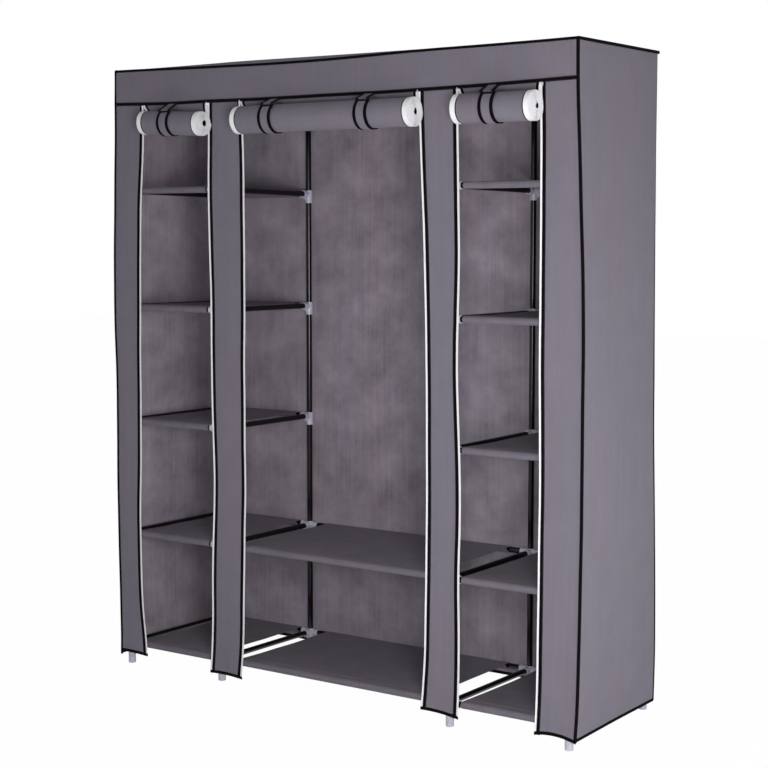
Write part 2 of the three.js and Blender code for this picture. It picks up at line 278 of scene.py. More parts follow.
def mathNode(tree, operation, *values):
    return addNode(tree, "ShaderNodeMath", dict(enumerate(values)), operation=operation).outputs[0]


def timesPlus(tree, value, factor, more):
    return mathNode(tree, "MULTIPLY_ADD", value, factor, more)


def between(tree, value, **inputs):
    given = {socket.replace("_", " "): limit for socket, limit in inputs.items()}
    return addNode(tree, "ShaderNodeMapRange", {"Value": value, **given}).outputs[0]


def twoTone(tree, factor, colours, places):
    ramp = addNode(tree, "ShaderNodeValToRGB", {"Fac": factor})
    for element, colour, place in zip(ramp.color_ramp.elements, colours, places):
        element.position = place
        element.color = hexToLinear(colour)
    return ramp.outputs[0]


def addBump(tree, surface, height, strength, distance):
    bump = addNode(tree, "ShaderNodeBump", {"Height": height, "Strength": strength, "Distance": distance})
    tree.links.new(bump.outputs[0], surface.inputs["Normal"])


clothSizes = {"bondMm": 3.2, "fibreMm": 1.6, "streakMm": (9, 420), "laneMm": (95, 900), "subsurface": 0.35,
              "depth": 0.0015}


def clothMaterial(name, dark, light, blotch, blotchMm=70, streak=0.16, tint=0.02):
    # spunbond polypropylene, point-bonded between hot rollers: matt, with pressed dots, faint streaks along the
    # roll and cloudy patches where fibres lie thicker. Real dots are 1.5 mm apart, drawn at about twice that
    material, tree, surface = newMaterial(
        name, Roughness=0.92, Specular_IOR_Level=0.14, Sheen_Weight=0.04, Sheen_Roughness=0.5,
        Subsurface_Weight=clothSizes["subsurface"], Subsurface_Radius=(1, 1, 1), Subsurface_Scale=clothSizes["depth"])
    place = uvNode(tree)
    clouds = noiseNode(tree, place, 1000 / blotchMm, 6.0, Roughness=0.62)
    wide, long = (1000 / size for size in clothSizes["streakMm"])
    along = addNode(tree, "ShaderNodeMapping", {"Vector": place, "Scale": (wide, long, 1)}).outputs[0]
    streaks = noiseNode(tree, along, 1.0, 3.0)
    fibres = noiseNode(tree, place, 1000 / clothSizes["fibreMm"], 2.0, Roughness=0.7)
    turned = addNode(tree, "ShaderNodeMapping", {"Vector": place, "Rotation": (0, 0, math.pi / 4)}).outputs[0]
    spots = {"Vector": turned, "Scale": 1000 / clothSizes["bondMm"], "Randomness": 0.12}
    dots = addNode(tree, "ShaderNodeTexVoronoi", spots, voronoi_dimensions="2D").outputs[0]
    pressed = between(tree, dots, From_Min=0.12, From_Max=0.42)
    cloudy = timesPlus(tree, clouds, blotch, 0.5 - blotch / 2)
    lined = timesPlus(tree, streaks, streak, -streak / 2)
    both = mathNode(tree, "ADD", cloudy, lined)
    cloth = twoTone(tree, timesPlus(tree, pressed, 0.09, both), (dark, light), (0.28, 0.86))
    # the dye takes unevenly: broad lanes lean to blue, others to plum
    wide, long = (1000 / size for size in clothSizes["laneMm"])
    lanes = addNode(tree, "ShaderNodeMapping", {"Vector": place, "Scale": (wide, long, 1), "Location": (3.1, 1.7, 0)})
    drift = noiseNode(tree, lanes.outputs[0], 1.0, 2.0)
    lean = between(tree, drift, From_Min=0.35, From_Max=0.65)
    blue, plum = (1 - tint, 1.0, 1 + tint, 1), (1 + tint, 1 - tint * 0.4, 1 - tint * 0.2, 1)
    dyed = addNode(tree, "ShaderNodeMix", {0: lean, 6: blue, 7: plum}, data_type="RGBA").outputs[2]
    colour = addNode(tree, "ShaderNodeMix", {0: 1.0, 6: cloth, 7: dyed}, data_type="RGBA", blend_type="MULTIPLY")
    tree.links.new(colour.outputs[2], surface.inputs["Base Color"])
    addBump(tree, surface, timesPlus(tree, fibres, 0.5, pressed), 0.3, 0.0005)
    return material


def tapeMaterial(name, dark, light, ribMm, rough, sheen, gloss):
    # woven polyester tape: fine cross ribs under short fuzz
    material, tree, surface = newMaterial(name, Roughness=rough, Specular_IOR_Level=gloss, Sheen_Weight=sheen)
    place = uvNode(tree)
    waves = {"Vector": place, "Scale": 1000 * math.pi / 10 / ribMm, "Distortion": 0.6, "Detail": 1.0}
    ribs = addNode(tree, "ShaderNodeTexWave", waves, bands_direction="X").outputs[1]
    mixed = timesPlus(tree, ribs, 0.5, noiseNode(tree, place, 1000 / 2.2, 3.0))
    tree.links.new(twoTone(tree, mixed, (dark, light), (0.35, 0.95)), surface.inputs["Base Color"])
    addBump(tree, surface, mixed, 0.35, 0.0004)
    return material


def hardMaterial(name, dark, light, grainMm, bumpMm, **shader):
    # a smooth moulded, cast or enamelled surface with slow colour drift and its own fine grain
    material, tree, surface = newMaterial(name, **shader)
    place = addNode(tree, "ShaderNodeTexCoord").outputs["Object"]
    drift = noiseNode(tree, place, 1000 / 60, 3.0, flat=False)
    grain = noiseNode(tree, place, 1000 / grainMm, 3.0, flat=False)
    tree.links.new(twoTone(tree, drift, (dark, light), (0.3, 0.7)), surface.inputs["Base Color"])
    base = shader["Roughness"]
    rough = between(tree, grain, To_Min=base * 0.8, To_Max=base * 1.25)
    tree.links.new(rough, surface.inputs["Roughness"])
    addBump(tree, surface, grain, 0.15, bumpMm / 1000)
    return material


coverCloth = clothMaterial("spunbondCoverCloth", "#716c76", "#87828d", blotch=0.22)
# the inner face of the same cloth, painted lighter as painted light for the dimly lit inside, with its thick and thin
# patches made far stronger as painted backlight, light shining through the cloth
innerClothPaintedLight = clothMaterial("spunbondClothReversePaintedLight", "#79707a", "#aca3ad", blotch=0.8, blotchMm=110, streak=0.22)
# the same cloth as the cover, painted darker: painted shade for the shelves, which get little light inside
shelfClothPaintedShade = clothMaterial("spunbondShelfClothPaintedShade", "#635d66", "#837d87", blotch=0.3)
blackBinding = tapeMaterial("wovenBlackBinding", "#050305", "#120d11", 1.4, 0.95, sheen=0.0, gloss=0.06)
whiteTape = tapeMaterial("wovenZipTape", "#f0eef3", "#fbfafc", 1.2, 0.75, sheen=0.05, gloss=0.3)
# extruded nylon monofilament, silky
nylonCoil = hardMaterial("nylonZipCoil", "#e9e7ec", "#f6f5f8", 3, 0.05, Roughness=0.42)
sewingThread = hardMaterial("polyesterThread", "#4a444d", "#5f5963", 1, 0.05, Roughness=0.7)
# dipped enamel on drawn steel tube: a wet, narrow highlight
glossEnamel = hardMaterial("glossBlackEnamel", "#060406", "#0d0a0d", 9, 0.02, Roughness=0.16,
                           Specular_IOR_Level=0.22, Coat_Weight=0.1, Coat_Roughness=0.06)
# unfilled polypropylene, injection moulded: milky, light goes a little way in
milkyPlastic = hardMaterial("naturalPolypropylene", "#b4b2c4", "#cdcbd8", 5, 0.03, Roughness=0.38,
                            Subsurface_Weight=0.35, Subsurface_Radius=(0.006, 0.006, 0.008), Subsurface_Scale=0.6)
nickelZinc = hardMaterial("nickelPlatedZinc", "#b9b9bd", "#cfcfd2", 2, 0.02, Roughness=0.28, Metallic=1.0)
print("materials made")


# camera, lights and floor

shot = {"place": (2.5754, -3.6880, 1.2896), "turn": 0.5987, "tilt": 0.0941, "lens": 75.9,
        "aim": (0, 0.1, 0.9), "ambient": 0.23, "floor": 30.0, "floorGlow": 0.985,
        "lamps": [("key", (1.95, -2.4, 1.0), 1.0, 54),  # name, place, size, watts
                  ("side", (2.2, -0.4, 0.7), 0.9, 8.5),
                  ("behind", (-2.4, 3.6, 2.2), 2.6, 70)]}


def addCamera():
    lens = bpy.data.cameras.new("camera")
    lens.lens = shot["lens"]
    lens.sensor_width = 36
    camera = addObject("camera", lens)
    camera.location = shot["place"]
    camera.rotation_euler = (math.pi / 2 - shot["tilt"], 0, shot["turn"])
    bpy.context.scene.camera = camera


def addLamps():
    for name, place, size, power in shot["lamps"]:
        light = bpy.data.lights.new(name, "AREA")
        light.shape, light.size, light.energy = "DISK", size, power
        lamp = addObject(name, light)
        lamp.location = place
        lamp.rotation_euler = (Vector(shot["aim"]) - Vector(place)).to_track_quat("-Z", "Y").to_euler()


def seenDirectly(tree):
    path = addNode(tree, "ShaderNodeLightPath").outputs
    mirrored = mathNode(tree, "MAXIMUM", path["Is Glossy Ray"], path["Is Transmission Ray"])
    return mathNode(tree, "MAXIMUM", path["Is Camera Ray"], mirrored)


def setWorld():
    world = bpy.data.worlds.new("studio")
    world.use_nodes = True
    bpy.context.scene.world = world
    tree = world.node_tree
    background = tree.nodes["Background"]
    background.inputs["Color"].default_value = (1, 1, 1, 1)
    strength = between(tree, seenDirectly(tree), To_Min=shot["ambient"], To_Max=1.0)
    tree.links.new(strength, background.inputs["Strength"])


def addFloor():
    half = shot["floor"] / 2
    mesh = bpy.data.meshes.new("floor")
    corners = [(-half, -half), (half, -half), (half, half), (-half, half)]
    mesh.from_pydata([(*corner, -0.0006) for corner in corners], [], [(0, 1, 2, 3)])
    material, tree, surface = newMaterial("paleStudioFloor", Roughness=0.9, Base_Color=(0.9, 0.9, 0.91, 1))
    glow = addNode(tree, "ShaderNodeEmission", {"Color": (1, 1, 1, 1), "Strength": 1.0})
    share = mathNode(tree, "MULTIPLY", seenDirectly(tree), shot["floorGlow"])
    mixed = addNode(tree, "ShaderNodeMixShader", {0: share, 1: surface.outputs[0], 2: glow.outputs[0]})
    tree.links.new(mixed.outputs[0], tree.nodes["Material Output"].inputs["Surface"])
    mesh.materials.append(material)
    addObject("floor", mesh)


addCamera()
addLamps()
setWorld()
addFloor()
bpy.context.scene.view_settings.view_transform = "Standard"
print("camera, lamps and floor ready")


# what repeats along a line: coil teeth and stitches

def beadTree():
    tree = bpy.data.node_groups.new("beadsAlongLine", "GeometryNodeTree")
    tree.interface.new_socket("Line", in_out="INPUT", socket_type="NodeSocketGeometry")
    kinds = {"Pitch": "Float", "Bead Length": "Float", "Bead Width": "Float", "Seed": "Int", "Finish": "Material"}
    for name, kind in kinds.items():
        tree.interface.new_socket(name, in_out="INPUT", socket_type="NodeSocket" + kind)
    tree.interface.new_socket("Beads", in_out="OUTPUT", socket_type="NodeSocketGeometry")
    given = addNode(tree, "NodeGroupInput").outputs
    line = addNode(tree, "GeometryNodeMeshToCurve", {"Mesh": given["Line"]}).outputs[0]
    cut = {"Curve": line, "Length": given["Pitch"]}
    spots = addNode(tree, "GeometryNodeCurveToPoints", cut, mode="LENGTH").outputs
    bead = addNode(tree, "GeometryNodeMeshUVSphere", {"Segments": 6, "Rings": 4, "Radius": 0.5})
    limits = {"Min": 0.9, "Max": 1.1, "Seed": given["Seed"]}
    uneven = addNode(tree, "FunctionNodeRandomValue", limits, data_type="FLOAT")
    wide, long = given["Bead Width"], given["Bead Length"]
    size = addNode(tree, "ShaderNodeCombineXYZ", {"X": wide, "Y": wide, "Z": long})
    scaled = addNode(tree, "ShaderNodeVectorMath", {0: size.outputs[0]}, operation="SCALE")
    tree.links.new(next(o for o in uneven.outputs if o.enabled and o.type == "VALUE"), scaled.inputs["Scale"])
    placed = addNode(tree, "GeometryNodeInstanceOnPoints", {
        "Points": spots["Points"], "Instance": bead.outputs["Mesh"], "Rotation": spots["Rotation"],
        "Scale": scaled.outputs[0]})
    whole = addNode(tree, "GeometryNodeRealizeInstances", {0: placed.outputs[0]})
    smooth = addNode(tree, "GeometryNodeSetShadeSmooth", {0: whole.outputs[0]})
    finish = {"Geometry": smooth.outputs[0], "Material": given["Finish"]}
    coloured = addNode(tree, "GeometryNodeSetMaterial", finish)
    addNode(tree, "NodeGroupOutput", {0: coloured.outputs[0]})
    return tree


beads = beadTree()


def beadsAlong(name, lines, sizes, material, body):
    # lines in mm; sizes holds the pitch, length and width of one bead in mm
    points = np.concatenate(lines) / 1000
    edges, start = [], 0
    for line in lines:
        edges += [(start + n, start + n + 1) for n in range(len(line) - 1)]
        start += len(line)
    mesh = bpy.data.meshes.new(name)
    mesh.from_pydata(points.tolist(), edges, [])
    holder = addObject(name + "_line", mesh)
    modifier = holder.modifiers.new("beads", "NODES")
    modifier.node_group = beads
    values = {"Pitch": sizes[0] / 1000, "Bead Length": sizes[1] / 1000, "Bead Width": sizes[2] / 1000,
              "Seed": 7, "Finish": material}
    for item in beads.interface.items_tree:
        if item.in_out == "INPUT" and item.name in values:
            modifier[item.identifier] = values[item.name]
    bpy.context.view_layer.update()
    solid = bpy.data.meshes.new_from_object(holder.evaluated_get(bpy.context.evaluated_depsgraph_get()))
    solid.name = name
    bpy.data.objects.remove(holder)
    if not solid.materials:
        solid.materials.append(material)
    return placeMesh(name, solid, body)


# frame: tubes and connectors

frameSizes = {"tubeRadius": 8, "sleeveRadius": 11, "sleeveBore": 8.3, "sleeveRise": 11, "sleeveDrop": 27,
              "socketRadius": 9.8, "socketReach": 30, "collarRadius": 10.9, "collarLength": 3.2, "sides": 22}
columnX = [cadMiddle(f"front_upright_{n}")[0] for n in (1, 2, 3, 4)]
rowY = [cadMiddle("front_upright_1")[1], cadMiddle("back_upright_1")[1]]
ringNodes = [[f"left_ring_{n}", f"right_ring_{n}"] for n in (2, 3, 4)]
levelNodes = [["base_frame"], ["lower_frame"], *ringNodes, ["top_frame"]]
levelZ = [cadBox(nodes[0])[1][2] - frameSizes["sleeveRise"] for nodes in levelNodes]


def collarPart(origin, axis, start, end):
    # a moulded socket: a plain wall and a thicker ring at its mouth
    bore, wall, collar = frameSizes["sleeveBore"], frameSizes["socketRadius"], frameSizes["collarRadius"]
    mouth = end - frameSizes["collarLength"]
    profile = [(bore, start), (wall, start), (wall, mouth), (collar, mouth + 0.5), (collar, end - 0.5),
               (collar - 0.5, end), (bore, end)]
    return lathePart(profile, origin, axis, frameSizes["sides"], loop=True)


# how far each level's front connectors sit above its back ones, at the left and at the right
frontRises = [(8, 8), (5, 0), (4, 1.5), (3.5, 1.5), (6, 4), (0, 0)]


def tubeHeight(level, y, x):
    rise = np.interp(x, (columnX[0], columnX[3]), frontRises[level])
    return levelZ[level] + rise * (rowY[1] - y) / (rowY[1] - rowY[0])


def sleevePart(x, y, level):
    bore, wall = frameSizes["sleeveBore"], frameSizes["sleeveRadius"]
    low, high = -frameSizes["sleeveDrop"], frameSizes["sleeveRise"]
    origin, up, sides = (x, y, tubeHeight(level, y, x)), (0, 0, 1), frameSizes["sides"]
    if level == 0:  # its closed lower end is the foot
        low = -origin[2]
        profile = [(0, low), (wall - 1.2, low), (wall, low + 1.2), (wall, high - 0.6), (wall - 0.6, high),
                   (bore, high), (bore, low + 4), (0, low + 4)]
        return lathePart(profile, origin, up, sides)
    if level == len(levelZ) - 1:  # the top ones are capped
        profile = [(0, high - 2), (bore, high - 2), (bore, low), (wall - 0.6, low), (wall, low + 0.6),
                   (wall, high - 1), (wall - 1, high), (0, high)]
        return lathePart(profile, origin, up, sides)
    profile = [(bore, low), (wall - 0.6, low), (wall, low + 0.6),
               (wall, high - 0.6), (wall - 0.6, high), (bore, high)]
    return lathePart(profile, origin, up, sides, loop=True)


def ribPart(x, y, z, direction, drop=15):
    # the thin web under a socket that ties it to the sleeve
    dx, dy = direction
    inner, outer, half = 9.5, 26.0, 0.9
    across = np.array([-dy, dx, 0.0])
    outline = [(inner, -8.5), (outer, -8.5), (inner, -8.5 - drop)]
    base = [np.array([x + dx * r, y + dy * r, z + h]) for r, h in outline]
    points = np.array([p + across * s for s in (-half, half) for p in base])
    return points, [[0, 1, 2], [5, 4, 3], [0, 3, 4, 1], [1, 4, 5, 2], [2, 5, 3, 0]], points[:, [0, 2]]


def addFrame():
    radius, sides = frameSizes["tubeRadius"], frameSizes["sides"]
    rowNames = ("front", "back")
    for row, y in enumerate(rowY):
        for column, x in enumerate(columnX):
            node = f"{rowNames[row]}_upright_{column + 1}"
            low, high = cadBox(node)
            tube = rodPart((x, y, low[2]), (x, y, high[2]), radius, sides)
            makePiece(node + "_tube", [tube], glossEnamel, replaces=(node,))
    for level, nodes in enumerate(levelNodes):
        groups = [(0, 1, 2, 3)] if len(nodes) == 1 else [(0, 1), (2, 3)]
        for node, group in zip(nodes, groups):
            tubes, plastic = [], []
            for place, column in enumerate(group):
                x = columnX[column]
                ends = [(x, y, tubeHeight(level, y, x)) for y in (rowY[0] + 6, rowY[1] - 6)]
                tubes.append(rodPart(*ends, radius, sides))
                for y in rowY:
                    z = tubeHeight(level, y, x)
                    inward = 1 if y == rowY[0] else -1
                    plastic.append(sleevePart(x, y, level))
                    ways = [(0, inward)]
                    if place > 0:
                        ways.append((-1, 0))
                        before = columnX[group[place - 1]]
                        start = (before + 6, y, tubeHeight(level, y, before))
                        tubes.append(rodPart(start, (x - 6, y, z), radius, sides))
                    if place < len(group) - 1:
                        ways.append((1, 0))
                    for way in ways:
                        plastic.append(collarPart((x, y, z), (*way, 0), 9, frameSizes["socketReach"]))
                        plastic.append(ribPart(x, y, z, way))
            makePiece(node + "_tubes", tubes, glossEnamel, replaces=(node,))
            makePiece(node + "_connectors", plastic, milkyPlastic)


def addRail():
    low, high = cadBox("hanging_rail")
    y, z = (low[1] + high[1]) / 2, (low[2] + high[2]) / 2
    tube = rodPart((low[0], y, z), (high[0], y, z), frameSizes["tubeRadius"], frameSizes["sides"])
    makePiece("hanging_rail_tube", [tube], glossEnamel, replaces=("hanging_rail",))
    for side, x, inward in (("left", columnX[1], 1), ("right", columnX[2], -1)):
        saddle = [(8.3, -13), (10.4, -13), (11, -12.4), (11, 12.4), (10.4, 13), (8.3, 13)]
        parts = [lathePart(saddle, (x, y, z), (0, 1, 0), frameSizes["sides"], loop=True),
                 collarPart((x, y, z), (inward, 0, 0), 10.6, 30)]
        makePiece(f"{side}_rail_saddle", parts, milkyPlastic, replaces=(f"{side}_rail_bracket",))


addFrame()
addRail()
print("frame built")


# shelves

shelfSizes = {"thickness": 1.0, "tubeSpace": 8.4, "topRise": 9.5, "seamReach": 26, "sag": 3.2, "ripple": 0.9,
              "rows": 34, "columnStep": 14}


def shelfLine():
    # half of the cloth's outer line in y and z: from the seam under the sheet, round the tube, to its top
    radius = shelfSizes["tubeSpace"] + shelfSizes["thickness"]
    seam = np.array([shelfSizes["seamReach"], shelfSizes["tubeSpace"] - 0.1])
    reach = np.linalg.norm(seam)
    angle = math.atan2(seam[1], seam[0]) - math.acos(radius / reach)
    arc = [(radius * math.cos(a), radius * math.sin(a)) for a in np.linspace(angle, -1.5 * math.pi, 15)]
    flap = [tuple(seam + (np.array(arc[0]) - seam) * share) for share in (0, 0.5)]
    return np.array(flap + arc)


def addShelf(node, seed):
    low, high = cadBox(node)
    level = high[2] - shelfSizes["topRise"]
    half = shelfLine()
    number = int(round((level - levelZ[0]) / (levelZ[1] - levelZ[0])))
    middle = (low[0] + high[0]) / 2
    leftZ, middleZ, rightZ = (tubeHeight(number, rowY[0], x) for x in (low[0], middle, high[0]))
    rise, slope = middleZ - levelZ[number], (rightZ - leftZ) / (high[0] - low[0])
    front = half + [rowY[0], level + rise]
    back = (half * [-1, 1] + [rowY[1], level])[::-1]
    top = half[-1][1]
    share = np.linspace(0, 1, shelfSizes["rows"])[1:-1]
    flat = np.column_stack([rowY[0] + (rowY[1] - rowY[0]) * share, level + top + rise * (1 - share)])
    line = np.concatenate([front, flat, back])
    sagging = np.concatenate([np.zeros(len(front)), 4 * share * (1 - share), np.zeros(len(back))])
    columns = max(12, int((high[0] - low[0]) / shelfSizes["columnStep"]))
    x = np.linspace(low[0], high[0], columns)
    y = np.repeat(line[:, :1], columns, 1)
    z = np.repeat(line[:, 1:], columns, 1)
    belly = 4 * (x - x[0]) * (x[-1] - x) / (x[-1] - x[0]) ** 2
    z = z + slope * (x - x.mean())[None, :] * np.clip((rowY[1] - y) / (rowY[1] - rowY[0]), 0, 1.1)
    waves = ripple(x[None, :], y, 40 + seed, 170)
    deep = shelfSizes["sag"] * (0.6 + 0.4 * belly[None, :]) + shelfSizes["ripple"] * (1 + waves)
    z = z - sagging[:, None] * deep
    outer = np.stack([np.repeat(x[None, :], len(line), 0), y, z], axis=-1)
    run = np.concatenate([[0], np.cumsum(np.linalg.norm(np.diff(line, axis=0), axis=1))])
    uv = np.stack([outer[..., 0], np.repeat(run[:, None], columns, 1)], axis=-1)
    piece = makePiece(node + "_cloth", [shellPart(outer, uv, shelfSizes["thickness"])], shelfClothPaintedShade, replaces=(node,))
    seams = []
    for edge, inward in ((rowY[0], 1), (rowY[1], -1)):
        row = edge + inward * (shelfSizes["seamReach"] - 2)
        nearest = np.abs(y[:, 0] - row) + 99 * (z[:, 0] < level)
        seams.append(np.column_stack([x, np.full(columns, row), z[nearest.argmin()] + 0.1]))
    beadsAlong(node + "_stitches", seams, (5, 3.4, 0.7), sewingThread, "wardrobe")


shelfNames = [f"{side}_shelf_{n}" for side in ("left", "right") for n in range(1, 6)]
for seed, name in enumerate([*shelfNames, "middle_shelf_1", "middle_shelf_2"]):
    addShelf(name, seed)
print("shelves built")


# cover: roof, back, sides, valance and the four front strips, all bound in black

roofLow, roofHigh = cadBox("roof_panel")
coverSizes = {"thickness": 1.0, "front": roofLow[1], "back": roofHigh[1], "half": roofHigh[0], "top": roofHigh[2],
              "seam": 1657, "hem": 33, "seamBand": 9.5, "hemBand": 9, "edgeBand": 10.5, "tapeWidth": 5.6,
              "bandThickness": 2.4, "curl": 3, "curlReach": 80, "backRise": 5, "edgeTop": 1750}
# how far the corner edges stand out, as (height, distance)
leftFlare = [(33, 15), (125, 18), (465, 21), (635, 21), (850, 19), (1060, 24), (1230, 22), (1400, 16), (1570, 11),
             (1655, 10), (1750, 8)]
rightFlare = [(33, 13), (125, 18), (300, 21), (713, 24), (975, 23), (1145, 21), (1230, 18), (1315, 14), (1400, 11),
              (1485, 7), (1570, 4), (1655, -0.5), (1750, -1)]
backFlare = [(33, 12), (134, 15), (320, 12), (596, 6), (780, 1), (1000, -0.5), (1400, -1), (1750, -1)]
# along x: the drop of the seam, the rise of the roof and the slip of its front edge
seamSag = [(-750, 0), (-700, 2), (-560, 6.5), (-400, 6), (-300, 8.5), (0, 9.5), (220, 9.5), (400, 8.5), (600, 4),
           (690, 3.5), (750, 0.5)]
roofLift = [(-760, 4), (-500, 4.5), (-300, 6), (0, 3.5), (300, 1.7), (500, 0.5), (700, 1.5), (760, 3)]
roofSlip = [(-750, 0), (-570, 3.5), (-400, 8.5), (-240, 11.5), (0, 10), (150, 6), (300, 2), (500, 0.5), (760, 0)]
# how far each opening edge hangs off its straight line, as (height, shift to the right)
tapeShifts = {
    1: [(33, -6), (60, -8), (135, -22), (210, -27), (285, -29), (435, -30), (585, -25), (810, -21), (1110, -18),
        (1260, -15), (1410, -9), (1485, -1), (1600, 3), (1657, 5)],
    2: [(33, -8), (60, -7), (135, -2), (285, 0), (435, 5), (547, 11), (660, 8), (885, 4), (1110, 4), (1260, 1),
        (1410, -2), (1485, 0), (1657, 2)],
    3: [(33, -8), (60, -5), (135, 2), (285, 4), (435, 7), (585, 13), (660, 11), (960, 11), (1035, 14), (1485, 14),
        (1600, 9), (1657, 6)],
    4: [(33, 12), (60, 12), (135, 20), (285, 23), (547, 27), (960, 24), (1110, 21), (1260, 17), (1410, 10),
        (1550, 3), (1657, 0)],
    5: [(33, 12), (60, 12), (135, 14), (210, 16), (400, 11), (510, 16), (660, 16), (810, 9), (960, 5), (1185, 10),
        (1335, 8), (1657, 3)],
    6: [(33, -6), (60, -5), (135, -2), (435, 0), (660, 1), (885, -2), (1260, -3), (1485, -3), (1600, -6),
        (1657, -7)]}
# the hem's height at each strip's left edge, middle and right edge
stripHems = {1: (35, 36, 33), 2: (22, 24, 20), 3: (36, 35, 28), 4: (28, 34, 24)}


def cornerX(side, z):
    flare = softLookUp(leftFlare if side < 0 else rightFlare, z)
    return side * (coverSizes["half"] + flare)


def seamZ(x):
    return coverSizes["seam"] - softLookUp(seamSag, x)


def roofZ(x):
    return coverSizes["top"] + softLookUp(roofLift, x)


def frontY(x, z):
    # the outer face of the front cloth: soft ripples and a slight outward curl at the hem
    low = share01(1 - (z - coverSizes["hem"]) / coverSizes["curlReach"])
    fade = share01((coverSizes["top"] - 30 - z) / 60)
    return coverSizes["front"] - fade * (1.1 + 1.1 * ripple(x, z * 0.45, 5, 150)) - coverSizes["curl"] * low ** 2


def tapeX(number, z):
    # the tape's middle; its free edge is where the CAD has it
    low, high = cadBox(f"zip_tape_{number}")
    half = coverSizes["tapeWidth"] / 2
    middle = high[0] - half if number % 2 else low[0] + half
    return middle + softLookUp(tapeShifts[number], z)


def stripSides(strip):
    # the left and right edge of a strip's cloth, each with its tape number or None at a corner
    return {1: (None, 1), 2: (2, 3), 3: (4, 5), 4: (6, None)}[strip]


def stripEdge(strip, side, z, inset=0.0):
    tape = stripSides(strip)[0 if side < 0 else 1]
    if tape is None:
        return cornerX(side, z) - side * inset
    return tapeX(tape, z) - side * (coverSizes["tapeWidth"] / 2 + inset)


def hemHeight(strip, u):
    left, middle, right = stripHems[strip]
    return left * (1 - u) * (1 - 2 * u) + 4 * middle * u * (1 - u) + right * u * (2 * u - 1)


def addSheet(name, surface, columns, rows, flat, replaces=(), number=0):
    u, v = np.meshgrid(np.linspace(0, 1, columns), np.linspace(0, 1, rows))
    outer = np.stack(np.broadcast_arrays(*surface(u, v)), axis=-1)
    uv = np.stack([u * flat[0] + number * 1730, v * flat[1]], axis=-1)
    piece = makePiece(name, [shellPart(outer, uv, coverSizes["thickness"])], coverCloth,
                      replaces=replaces, reverse=innerClothPaintedLight)


def addBinding(name, parts, body="wardrobe"):
    return makePiece(name, parts, blackBinding, body=body)


def addStitches(name, lines):
    beadsAlong(name, lines, (4.5, 3, 0.6), sewingThread, "wardrobe")


def hemPart(path, out):
    return sweepPart(path, (0, 0, 1), out, bandSection(coverSizes["hemBand"], coverSizes["bandThickness"]))


def frontBand(points, across, width):
    # a folded binding over the front cloth: points are on its outer face
    middle = np.array(points) + [0, coverSizes["thickness"] / 2, 0]
    return sweepPart(middle, across, (0, -1, 0), bandSection(width, coverSizes["bandThickness"]))


def frontLine(x, z):
    x, z = np.broadcast_arrays(np.asarray(x, float), np.asarray(z, float))
    return np.column_stack([x, frontY(x, z), z])


def addStrip(strip):
    z0, seam, edge, hemBand = (coverSizes[key] for key in ("hem", "seam", "edgeBand", "hemBand"))

    def surface(u, v):
        sewn = seamZ(np.interp(u, (0, 1), (stripEdge(strip, -1, seam), stripEdge(strip, 1, seam))))
        z = hemHeight(strip, u) + v * (sewn - hemHeight(strip, u))
        x = stripEdge(strip, -1, z) * (1 - u) + stripEdge(strip, 1, z) * u
        return x, frontY(x, z), z

    width = stripEdge(strip, 1, 900) - stripEdge(strip, -1, 900)
    bands, seams = [], []
    for side, number in zip((-1, 1), stripSides(strip)):
        if number is not None:
            start = hemHeight(strip, max(side, 0.0)) + 1
            z = np.linspace(start, seamZ(stripEdge(strip, side, seam)) - 3, 110)
            bands.append(frontBand(frontLine(stripEdge(strip, side, z, edge / 2), z), (1, 0, 0), edge))
            z = np.linspace(z0 + 8, seam - 16, 110)
            seams.append(frontLine(stripEdge(strip, side, z, edge - 1.4), z) - [0, 0.7, 0])
    u = np.linspace(0, 1, 16)
    z = hemHeight(strip, u)
    left = stripEdge(strip, -1, z, -coverSizes["tapeWidth"] * (strip > 1))
    right = stripEdge(strip, 1, z, -coverSizes["tapeWidth"] * (strip < 4))
    bands.append(frontBand(frontLine(left * (1 - u) + right * u, z + hemBand / 2 - 1), (0, 0, 1), hemBand))
    binding = addBinding(f"front_strip_{strip}_binding", bands)
    addSheet(f"front_strip_{strip}_cloth", surface, 16, 110, (width, seam - z0),
             replaces=(f"front_strip_{strip}",), number=strip)
    addStitches(f"front_strip_{strip}_stitches", seams)


def addZipTapes():
    for number in range(1, 7):
        inward = 1 if number % 2 else -1  # towards the opening
        strip = number // 2 + 1
        z0 = hemHeight(strip, 1.0 if number % 2 else 0.0) + 2
        z = np.linspace(z0, seamZ(tapeX(number, coverSizes["seam"])) - 2, 130)
        x = tapeX(number, z)
        line = frontLine(x, z) + [0, coverSizes["thickness"] / 2, 0]
        tape = sweepPart(line, (1, 0, 0), (0, -1, 0), bandSection(coverSizes["tapeWidth"], 0.9))
        node = f"zip_tape_{number}"
        makePiece(node + "_cloth", [tape], whiteTape, replaces=(node,))
        z = np.linspace(z0 + 6, seamZ(tapeX(number, coverSizes["seam"])) - 6, 130)
        coil = frontLine(tapeX(number, z) + inward * (coverSizes["tapeWidth"] / 2 - 1.0), z) - [0, 0.5, 0]
        beadsAlong(node + "_coil", [coil], (2.5, 1.9, 2.4), nylonCoil, "wardrobe")


def edgeZ(x):
    # the seam between roof and valance, which has slipped a little over the front tube
    return roofZ(x) - softLookUp(roofSlip, x)


